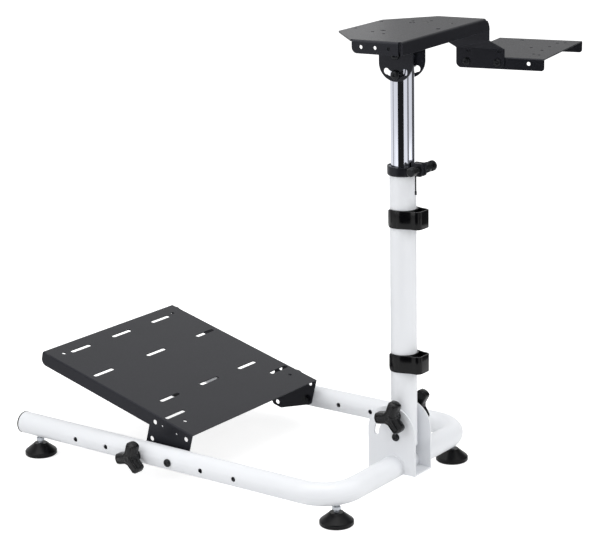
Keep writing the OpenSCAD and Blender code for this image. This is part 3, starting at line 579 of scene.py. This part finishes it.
def leg_plug(node):
    low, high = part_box(node)
    x, z, end_y = (low.x + high.x) / 2, (low.z + high.z) / 2, low.y + PLUG_LENGTH_INSIDE
    shape = bmesh.new()
    rings_joined(shape, [[(x + r * c, end_y + h, z + r * s) for c, s in circle(64)] for r, h in PLUG_PROFILE])
    plug = made(node + "_moulded", shape, NYLON, "base")
    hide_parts(node)


leg_plug("leg_cap_left")
leg_plug("leg_cap_right")


# Button heads with a sunk hexagon over the small bolts, as the photographed ones have

SOCKET_HALF = 0.0024  # half the hexagon's width over its flats


def button_head(node, yaw, radius, body):
    """A low dome on the bolt's left end; yaw is the bolt's turn from +X in degrees."""
    axis = Vector((math.cos(math.radians(yaw)), math.sin(math.radians(yaw)), 0.0))
    side = Vector((-axis.y, axis.x, 0.0))
    low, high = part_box(node)
    centre = (low + high) / 2
    start = min((v.co - centre).dot(axis) for v in nodes[node].data.vertices)
    dome = [(radius, 0.0030), (radius, 0.0022), (radius * 0.96, 0.0014), (radius * 0.82, 0.0004),
            (radius * 0.6, -0.0002), (radius * 0.47, -0.0004)]
    socket = [(SOCKET_HALF, -0.0004), (SOCKET_HALF, 0.0010)]
    rings = []
    for i, (r, h) in enumerate(dome + socket):
        ring = []
        for degrees in range(0, 360, 10):
            a = math.radians(degrees)
            reach = r / math.cos(math.radians(degrees % 60 - 30)) if i >= len(dome) else r
            ring.append(centre + (start + h) * axis + reach * math.cos(a) * side
                        + Vector((0, 0, reach * math.sin(a))))
        rings.append(ring)
    shape = bmesh.new()
    rings_joined(shape, rings)
    head = made(node + "_button_head", shape, OXIDE, body)


BUTTON_HEADS = [
    ("arm_bolt_front", ARM_YAW, 0.0068, "head_body"), ("arm_bolt_rear", ARM_YAW, 0.0068, "head_body"),
    ("tilt_lock_bolt", HEAD_YAW, 0.0080, "tube_body"), ("tilt_pivot_bolt", HEAD_YAW, 0.0075, "tube_body"),
    ("fold_pivot_bolt", 0.0, 0.0070, "base"), ("pedal_bolt_left", 0.0, 0.0072, "base"),
]
for node, yaw, radius, body in BUTTON_HEADS:
    button_head(node, yaw, radius, body)


# Studio: pale floor, reflected cards, soft lamps, and the camera at the photographed angle

WHITE_LIGHT = (1, 1, 1, 1)
FLOOR_HALF, FLOOR_Z = 30, -0.0005


def floor_material(seen, mirrored):
    """A pale matt ground; the glow that the camera sees and the one seen in gloss are apart."""
    mat, tree = bare_material("plaster_floor_pale")
    ray = add(tree, "LightPath")
    matt = add(tree, "BsdfDiffuse", values={"Color": linear("e8e8e8")})
    glow = add(tree, "Math", {0: ray.outputs["Is Camera Ray"]}, {1: seen}, operation="MULTIPLY")
    either = add(tree, "Math", {0: ray.outputs["Is Glossy Ray"], 2: glow.outputs["Value"]}, {1: mirrored},
                 operation="MULTIPLY_ADD")
    light = add(tree, "Emission", {"Strength": either.outputs["Value"]}, {"Color": WHITE_LIGHT})
    total = add(tree, "AddShader", {0: matt.outputs["BSDF"], 1: light.outputs["Emission"]})
    add(tree, "OutputMaterial", {"Surface": total.outputs["Shader"]})
    return mat


def plane(name, corners, mat):
    """A flat four-cornered sheet of the studio."""
    mesh = bpy.data.meshes.new(name)
    mesh.from_pydata(corners, [], [(0, 1, 2, 3)])
    mesh.materials.append(mat)
    sheet = bpy.data.objects.new(name, mesh)
    scene.collection.objects.link(sheet)
    return sheet


def reflected_card(name, corners, level):
    """An even grey or white card, seen in gloss alone."""
    mat, tree = bare_material(name)
    light = add(tree, "Emission", values={"Color": WHITE_LIGHT, "Strength": level})
    add(tree, "OutputMaterial", {"Surface": light.outputs["Emission"]})
    card = plane(name, corners, mat)
    card.visible_camera = card.visible_diffuse = card.visible_shadow = card.visible_transmission = False


floor_corners = [(x * FLOOR_HALF, y * FLOOR_HALF, FLOOR_Z) for x, y in ((-1, -1), (1, -1), (1, 1), (-1, 1))]
floor = plane("floor", floor_corners, floor_material(0.70, 0.30))

# Upright cards round the stand draw the dark and grey bands that the photographed chrome shows.
# Bearings are in degrees from the camera's side towards the picture's right; the last number is the grey.
TO_CAMERA = Vector((-0.811, -0.585, 0.0))
PICTURE_RIGHT = Vector((0.585, -0.811, 0.0))
CARD_DISTANCE, CARD_TOP = 1.4, 1.9
CARDS = [
    ("card_camera_side", -47, 9, 0.015), ("card_right_grey", 43, 59, 0.22),
    ("card_far_right", 98, 142, 0.09), ("card_far_left_grey", -107, -94, 0.5),
]


def card_corner(bearing, high):
    angle = math.radians(bearing)
    return (POLE + CARD_DISTANCE * (math.cos(angle) * TO_CAMERA + math.sin(angle) * PICTURE_RIGHT)
            + Vector((0, 0, high)))


for name, start, end, level in CARDS:
    reflected_card(name, [card_corner(start, 0.0), card_corner(end, 0.0),
                          card_corner(end, CARD_TOP), card_corner(start, CARD_TOP)], level)

# Two bright strips draw light lines along the folded edges, and the flat tops of the two decks
# mirror a grey card behind them
STRIP_LEVEL, BEHIND_LEVEL, BEHIND_DISTANCE = 5.0, 0.6, 0.9
reflected_card("strip_over_pedal_deck",
               [(-1.4, 0.8, 1.9), (0.3, 1.5, 1.9), (0.3, 1.7, 2.3), (-1.4, 1.0, 2.3)], STRIP_LEVEL)
reflected_card("strip_right_of_wheel_deck",
               [(1.1, -1.5, 1.9), (1.6, -0.3, 1.9), (1.6, -0.3, 2.35), (1.1, -1.5, 2.35)], STRIP_LEVEL)
reflected_card("strip_behind_decks",
               [POLE - BEHIND_DISTANCE * TO_CAMERA + across * PICTURE_RIGHT + Vector((0, 0, high))
                for across, high in ((0.0, 0.7), (1.1, 0.7), (1.1, 2.0), (0.0, 2.0))], BEHIND_LEVEL)

STAND_MIDDLE = Vector((-0.08, 0.0, 0.35))


def soft_lamp(name, place, wide, high, power):
    """An area lamp turned to the middle of the stand."""
    light = bpy.data.lights.new(name, "AREA")
    light.shape = "RECTANGLE"
    light.size, light.size_y, light.energy = wide, high, power
    lamp = bpy.data.objects.new(name, light)
    lamp.location = place
    lamp.rotation_mode = "QUATERNION"
    lamp.rotation_quaternion = (STAND_MIDDLE - Vector(place)).to_track_quat("-Z", "Y")
    scene.collection.objects.link(lamp)
    return lamp


soft_lamp("lamp_above", (-0.73, -0.1, 3.0), 2.6, 2.6, 38)
soft_lamp("lamp_left", (-2.73, 0.6, 1.6), 1.6, 2.2, 17)
low_lamp = soft_lamp("lamp_right", (0.77, -2.9, 1.5), 1.6, 2.2, 26)
# seen from the front, this lamp's mirror image would turn the flat black decks white
low_lamp.visible_glossy = False

# The world lights the stand with AMBIENT, and is white to the camera and in reflections
AMBIENT, BACKDROP = 0.62, 1.0
world = bpy.data.worlds.new("studio")
scene.world = world
world.use_nodes = True
sky = world.node_tree
sky.nodes.clear()
ray = add(sky, "LightPath")
either = add(sky, "Math", {0: ray.outputs["Is Camera Ray"], 1: ray.outputs["Is Glossy Ray"]},
             operation="MAXIMUM")
ambient = add(sky, "Background", values={"Color": WHITE_LIGHT, "Strength": AMBIENT})
backdrop = add(sky, "Background", values={"Color": WHITE_LIGHT, "Strength": BACKDROP})
seen = add(sky, "MixShader", {"Fac": either.outputs["Value"], 1: ambient.outputs["Background"],
                              2: backdrop.outputs["Background"]})
add(sky, "OutputWorld", {"Surface": seen.outputs["Shader"]})

# The camera as fitted to the photograph: heading from +Y towards +X, pitch down, roll, in degrees
HEADING, PITCH, ROLL = 54.21, 15.0, 0.95
CAMERA_FROM_POLE = Vector((-2.567, -1.693, 1.2195))
camera_data = bpy.data.cameras.new("camera")
camera_data.sensor_fit = "HORIZONTAL"
camera_data.sensor_width = 36.0
camera_data.lens = 114.0
camera_data.shift_x = -0.045
camera = bpy.data.objects.new("camera", camera_data)
scene.collection.objects.link(camera)
heading, pitch, roll = math.radians(HEADING), math.radians(PITCH), math.radians(ROLL)
ahead = Vector((math.sin(heading) * math.cos(pitch), math.cos(heading) * math.cos(pitch), -math.sin(pitch)))
level = Vector((math.cos(heading), -math.sin(heading), 0.0))
down = ahead.cross(level)
image_right = math.cos(roll) * level + math.sin(roll) * down
image_down = -math.sin(roll) * level + math.cos(roll) * down
turn = Matrix((image_right, -image_down, -ahead)).transposed()
camera.matrix_world = Matrix.Translation(POLE + CAMERA_FROM_POLE) @ turn.to_4x4()
scene.camera = camera
scene.view_settings.view_transform = "Standard"
